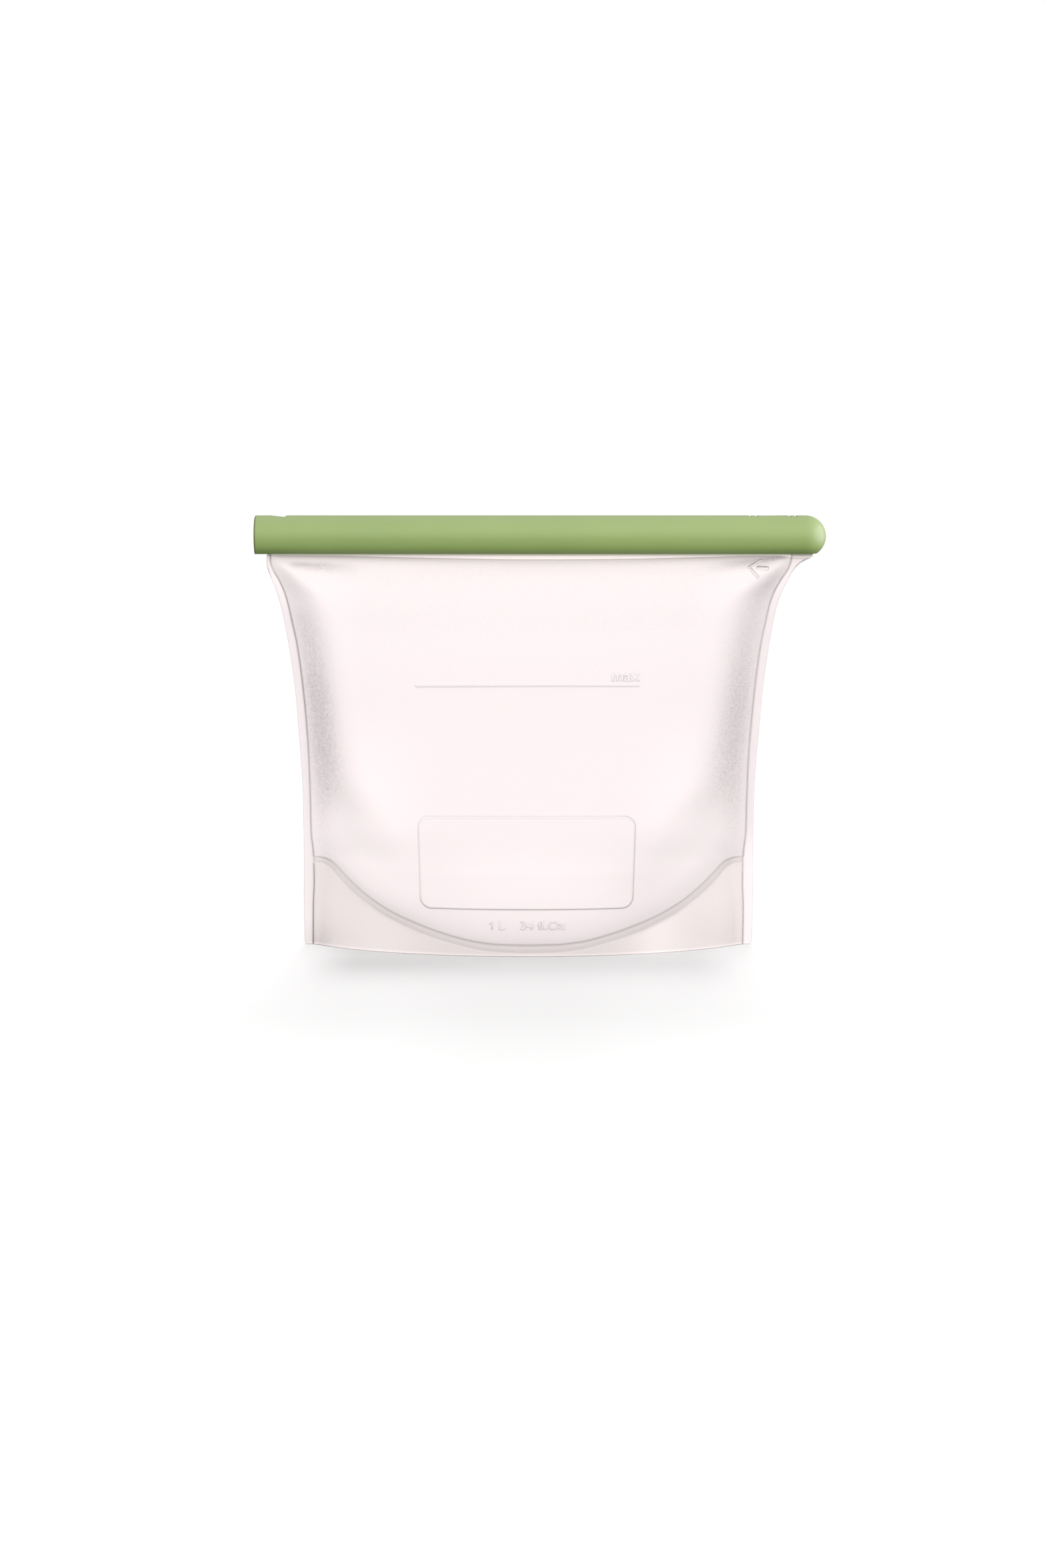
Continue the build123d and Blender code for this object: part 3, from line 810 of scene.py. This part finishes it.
def marked_colour(tree, colour, speck, marks):
    """The wall's colour with painted shade along its edges, painted highlights, the weld and painted
    shade on the foot drawn in, and its painted glow, from the marks.
    """
    (label, line, above), (below, seam, edge), (crest, height, _) = marks[:3]
    (_, painted_shade_patches, painted_glow), (label_grey, seam_grey, edge_grey) = marks[3:]
    # (distance, width and offset in mm, strength of the painted shade)
    painted_shade_lines = (
        (label, 0.30, -0.05, label_grey),       # label edge
        (label, 0.22, -0.85, 0.05),             # inner foot of the label's bead
        (line, 0.22, 0.05, 0.09),               # round the level line
        (above, 0.26, 0.0, 0.145),              # upper edge of the weld
        (seam, 0.42, 0.0, seam_grey),
        (edge, 0.22, 0.0, edge_grey),
        (crest, 0.24, 0.0, 0.24))
    # painted highlights along the foot
    painted_highlight_lines = (
        (below, 0.26, 0.15, -0.075),            # where the foot starts
        (height, 0.60, 0.45, -0.15))            # the foot's own edge
    weld = (above < 0.0) * (below < 0.0)
    on_line = line < 0.0
    low_down = (1.0 - height / 42.0).clamped()
    foot = below > 0.0

    def drawn(lines):
        return [bell(distance, width, offset) * painted_shading for distance, width, offset, painted_shading in lines]

    greys = [
        *drawn(painted_shade_lines),
        painted_shade_patches * (1.0 + speck * 0.9),                            # painted shade patches, made grainy
        weld * (0.115 + (above / -3.4).clamped() * 0.035),      # greyer as two walls thick, and painted shade as it slopes in under the chamber
        # painted shade on the foot, darker towards the floor
        foot * (0.055 + low_down * 0.045),
        *drawn(painted_highlight_lines),
        on_line * 0.03]
    light = 1.0 - math_node("MINIMUM", sum(greys[1:], greys[0]), MOST_GREY)
    # the welded foot is a little warmer than the chamber
    warm = 1.0 - (above < 0.0) * 0.022
    plain = signal(tree, "CombineColor", light, light, light * warm)
    # only the band takes the bar's painted shade and green reflection; the bead inside the bar stays
    # unshaded
    painted_bar_shade = colour_ramp(((BAR_FLAT - height) / CAST_REACH).clamped(), BAR_PAINTED_SHADE)
    on_band = (0.5 - crest * 5.0).clamped() * (height < BAR_FLAT + 0.25)
    near_bar = signal(tree, "Mix", output="Result", data_type="RGBA", Factor=on_band,
                      A=(1, 1, 1, 1), B=painted_bar_shade)
    # painted light: the walls glow, tinted by the bar's painted shade on the band
    glowing = dict(Emission_Color=tint(srgb(255, 246, 245), near_bar),
                   Emission_Strength=painted_glow * light)
    return tint(colour, tint(plain, near_bar)), glowing


def noise(tree, place, scale, detail, roughness):
    return signal(tree, "TexNoise", Vector=place, Scale=scale, Detail=detail, Roughness=roughness)


def silicone(name, edge_on=1.0, shade=1.0, marked=False):
    """Milky frosted silicone: lets some light through head on, denser and greyer side on."""
    material, tree = new_material(name)
    place = signal(tree, "TexCoord", output="Object")
    grain = noise(tree, place, scale=1350.0, detail=2.0, roughness=0.65)
    mottle = noise(tree, place, scale=420.0, detail=2.0, roughness=0.6)
    cloud = noise(tree, place, scale=20.0, detail=3.0, roughness=0.5)
    facing = signal(tree, "LayerWeight", output="Facing", Blend=0.5)
    # depth: how much wall the eye looks through, broken up by speckle and cloud
    look = facing
    if marked:
        marks = [separate(tree, signal(tree, "Attribute", output="Vector", attribute_name=key))
                 for key in ("marks_a", "marks_b", "marks_c", "marks_d", "marks_e")]
        # on the walls the side-on greying is scaled down where light is painted in
        look = facing * marks[3][0]
    speck = (grain - 0.5) * 1.8 + (mottle - 0.5) * 0.45
    depth = look + speck * (look * 0.80)
    depth = (depth + (cloud - 0.5) * 0.03) * edge_on
    tones = [(at, srgb(*(c * shade for c in rgb))) for at, rgb in SILICONE_TONES]
    colour = colour_ramp(depth, tones, "EASE")
    glowing = {}
    if marked:
        colour, glowing = marked_colour(tree, colour, speck, marks)
    # clearness falls with the length of the way through the wall; back faces are fully clear
    way = 1.0 / math_node("MAXIMUM", 1.0 - facing, 0.06)
    opaque = (1.0 - CLEARNESS ** way).clamped()
    alpha = opaque * (1.0 - signal(tree, "NewGeometry", output="Backfacing"))
    bump = signal(tree, "Bump", Strength=0.14, Distance=0.0002, Height=grain)
    bsdf = signal(tree, "BsdfPrincipled", Base_Color=colour, Alpha=alpha,
                  Roughness=cloud * 0.16 + 0.44, IOR=1.41, Specular_IOR_Level=0.35,
                  Normal=bump, **glowing)
    add_node(tree, "OutputMaterial", bsdf)
    return material


# ---------------------------------------------------------------- bar plastic
BAR_GREENS = ((0.3, srgb(135, 157, 90)), (0.7, srgb(140, 161, 94)))
# Painted reflection and shade round the bar, paler and bluer on top and darker underneath: (0 faces up,
# 1 faces down).
BAR_PAINTED_SHADING = (
    (0.0, (0.96, 0.93, 1.12, 1)), (0.12, (1.0, 0.97, 1.12, 1)), (0.30, (1.03, 1.02, 1.08, 1)),
    (0.44, (1, 1, 1, 1)), (0.64, (0.98, 1, 0.97, 1)), (0.72, (0.90, 0.95, 0.84, 1)),
    (0.81, (0.70, 0.76, 0.62, 1)), (0.90, (0.44, 0.47, 0.38, 1)), (1.0, (0.34, 0.36, 0.30, 1)))
# Darkening of the left end: (share of BAR_END_REACH in metres).
BAR_END = ((0.0, (0.42, 0.34, 0.34, 1)), (0.16, (0.55, 0.50, 0.50, 1)),
           (0.34, (1, 1, 1, 1)), (1.0, (1, 1, 1, 1)))
BAR_END_REACH = 0.0030


def bar_plastic(name):
    """Satin moulded plastic, leaf green, with painted shade round the underside, a painted reflection
    on top, and darker at the left end.
    """
    material, tree = new_material(name)
    coord = add_node(tree, "TexCoord")
    place, normal = Signal(coord.outputs["Object"]), Signal(coord.outputs["Normal"])
    fine = noise(tree, place, scale=2600.0, detail=2.0, roughness=0.5)
    large = noise(tree, place, scale=30.0, detail=4.0, roughness=0.55)
    turned_down = 0.5 - separate(tree, normal)[2] * 0.5
    from_end = (separate(tree, place)[0] - BAR_LEFT * MM) / BAR_END_REACH
    green = tint(colour_ramp(large, BAR_GREENS), colour_ramp(turned_down, BAR_PAINTED_SHADING))
    bump = signal(tree, "Bump", Strength=0.06, Distance=0.0002, Height=fine)
    bsdf = signal(tree, "BsdfPrincipled", Base_Color=tint(green, colour_ramp(from_end, BAR_END)),
                  Roughness=large * 0.12 + 0.34, Normal=bump)
    add_node(tree, "OutputMaterial", bsdf)
    return material


# ---------------------------------------------------------------- floor and world
FLOOR_SIZE = 12         # metres, half a side
FLOOR_GLOW = 0.432
BLACK, WHITE = (0, 0, 0, 1), (1, 1, 1, 1)
# Painted light beside the bag and painted shadow close to it, by distance to the side, as a share of
# SIDE_REACH in metres.
PAINTED_LIGHT_BESIDE = ((0.0, BLACK), (0.08, BLACK), (0.55, WHITE), (1.0, WHITE))
PAINTED_SHADOW_CLOSE = ((0.0, WHITE), (0.61, WHITE), (0.84, BLACK), (1.0, BLACK))
SIDE_REACH = 0.12


def floor_material():
    """The camera sees a pale glowing floor with a painted shadow near the foot and painted light beside
    it; other rays see grey felt.
    """
    material, tree = new_material("floor")
    x, y, _ = separate(tree, signal(tree, "TexCoord", output="Object"))
    across = abs(x - (MID - 3.0) * MM)
    away = math_node("MAXIMUM", abs(y) - 0.028, 0.0)
    beside, close_by = (colour_ramp((across / SIDE_REACH).clamped(), stops, "EASE")
                        for stops in (PAINTED_LIGHT_BESIDE, PAINTED_SHADOW_CLOSE))
    # the painted shadow is stronger to the left
    leftward = (((MID - 10.0) * MM - x) / 0.05).clamped()
    shade = 0.142 + leftward * 0.085
    near_foot = bell(away, width=0.032, offset=0.012)
    # painted shadow near the foot and painted light beside it, on top of the even glow
    strength = FLOOR_GLOW + (beside * 0.034 - near_foot * close_by * shade)
    even = add_node(tree, "Emission", Strength=FLOOR_GLOW)
    tree.links.new(strength.socket, even.inputs["Strength"])
    pale = signal(tree, "BsdfDiffuse", Color=(0.42, 0.415, 0.413, 1))
    seen = signal(tree, "AddShader", pale, Signal(even.outputs[0]))
    felt = signal(tree, "BsdfDiffuse", Color=(0.34, 0.34, 0.34, 1))
    camera_ray = signal(tree, "LightPath", output="Is Camera Ray")
    add_node(tree, "OutputMaterial", signal(tree, "MixShader", camera_ray, felt, seen))
    return material


def build_floor():
    mesh = bpy.data.meshes.new("floor")
    corners = [(x * FLOOR_SIZE, y * FLOOR_SIZE, 0) for x, y in ((-1, -1), (1, -1), (1, 1), (-1, 1))]
    mesh.from_pydata(corners, [], [(0, 1, 2, 3)])
    ob = link("floor", mesh)
    give(ob, floor_material())
    return ob


def build_world():
    """White to the camera; as light, brighter from above and from the front, dimmer behind."""
    world = bpy.data.worlds.new("studio")
    bpy.context.scene.world = world
    world.use_nodes = True
    tree = world.node_tree
    tree.nodes.clear()
    _, y, z = separate(tree, signal(tree, "TexCoord", output="Generated"))
    up = math_node("MAXIMUM", z, 0.0)
    fore = math_node("MAXIMUM", y * -1.0, 0.0) ** 2.0
    aft = math_node("MAXIMUM", y, 0.0) ** 2.0
    light = 0.82 + up * 0.34 + fore * 1.21 + aft * -0.30
    camera_ray = signal(tree, "LightPath", output="Is Camera Ray")
    strength = camera_ray * 1.0 + (1.0 - camera_ray) * light
    background = signal(tree, "Background", Color=WHITE, Strength=strength)
    add_node(tree, "OutputWorld", background)


# ---------------------------------------------------------------- lights and camera
def lit_only(light, name, objects):
    """Let a light reach these objects alone."""
    collection = bpy.data.collections.new(name)
    for ob in objects:
        collection.objects.link(ob)
    light.light_linking.receiver_collection = collection


def aim(ob, direction):
    ob.rotation_euler = direction.to_track_quat("-Z", "Y").to_euler()


def build_sun(lit):
    """A broad light from behind and above, for the soft shadow in front of the bag."""
    data = bpy.data.lights.new("over", "SUN")
    data.energy = 1.25
    data.angle = math.radians(24)
    sun = link("over", data)
    aim(sun, Vector((-0.06, -0.72, -0.72)))
    lit_only(sun, "sun_lit", lit)


def build_bar_light(bar):
    """A small violet light at the domed end, for the bar alone."""
    data = bpy.data.lights.new("bar_side", "AREA")
    data.shape = "SQUARE"
    data.size = 0.7
    data.energy = 6.4
    data.color = (0.76, 0.67, 1.0)
    light = link("bar_side", data)
    light.location = (0.60, -0.05, 0.21)
    aim(light, Vector((0.125, 0, 0.19)) - light.location)
    lit_only(light, "bar_lit", [bar])


def build_camera():
    data = bpy.data.cameras.new("camera")
    data.sensor_width = 36
    data.sensor_fit = "AUTO"
    data.lens = 70.56
    data.clip_start, data.clip_end = 0.05, 60
    camera = link("camera", data)
    x = (MID - 3.2) * MM
    camera.location = (x, -1.4, 0.3)
    aim(camera, Vector((x, 0, 0.0752)) - camera.location)
    bpy.context.scene.camera = camera


# ---------------------------------------------------------------- build the bag
wall_silicone = silicone("bag_silicone", marked=True)
gusset_silicone = silicone("gusset_silicone")
green_plastic = bar_plastic("bar_plastic")

front = wall_piece("front_wall", True, wall_silicone)
back = wall_piece("back_wall", False, wall_silicone)
gusset = gusset_piece(gusset_silicone)

mark_silicone = silicone("mark_silicone", edge_on=2.1, shade=0.965)
fill_mark = low_relief("fill_mark", [(word_curve("max"), (37.4, 50.0, 125.85, 129.3))],
                       mark_silicone)
volume_mark = low_relief("volume_mark", [
    (outline_curve(figure_one(-18.0, -15.6, 13.1, 17.2)), None),
    (word_curve("L"), (-13.4, -10.7, 13.1, 17.2)),
    (word_curve("34 fl.Oz"), (-3.8, 16.9, 13.1, 17.3))], mark_silicone)
ARROW_TIP = (99.4, 175.9)
arrow_mark = new_object("arrow_mark", *stroke_mesh([
    (ARROW_TIP, (104.6, 178.7), 0.62),
    (ARROW_TIP, (103.2, 171.7), 0.62),
    ((103.5, 175.6), (107.6, 175.4), 0.85)]))
finish(arrow_mark, mark_silicone, sharp_angle=60)

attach(fill_mark, "bag")
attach(volume_mark, "bag")
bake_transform(arrow_mark)

for ob, nodes in ((front, ("front_panel", "front_lip")), (back, ("back_panel", "back_lip"))):
    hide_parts(*nodes)
    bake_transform(ob)
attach(gusset, "bag")
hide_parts("base_gusset")

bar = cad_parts["slide_bar"]
bar.material_slots[0].link = "OBJECT"
bar.material_slots[0].material = green_plastic

# ---------------------------------------------------------------- build the setting
floor = build_floor()
build_world()
build_sun([floor, front, back, gusset, fill_mark, volume_mark, arrow_mark])
build_bar_light(bar)
build_camera()
scene = bpy.context.scene
scene.view_settings.view_transform = "Standard"
scene.cycles.transparent_max_bounces = 32
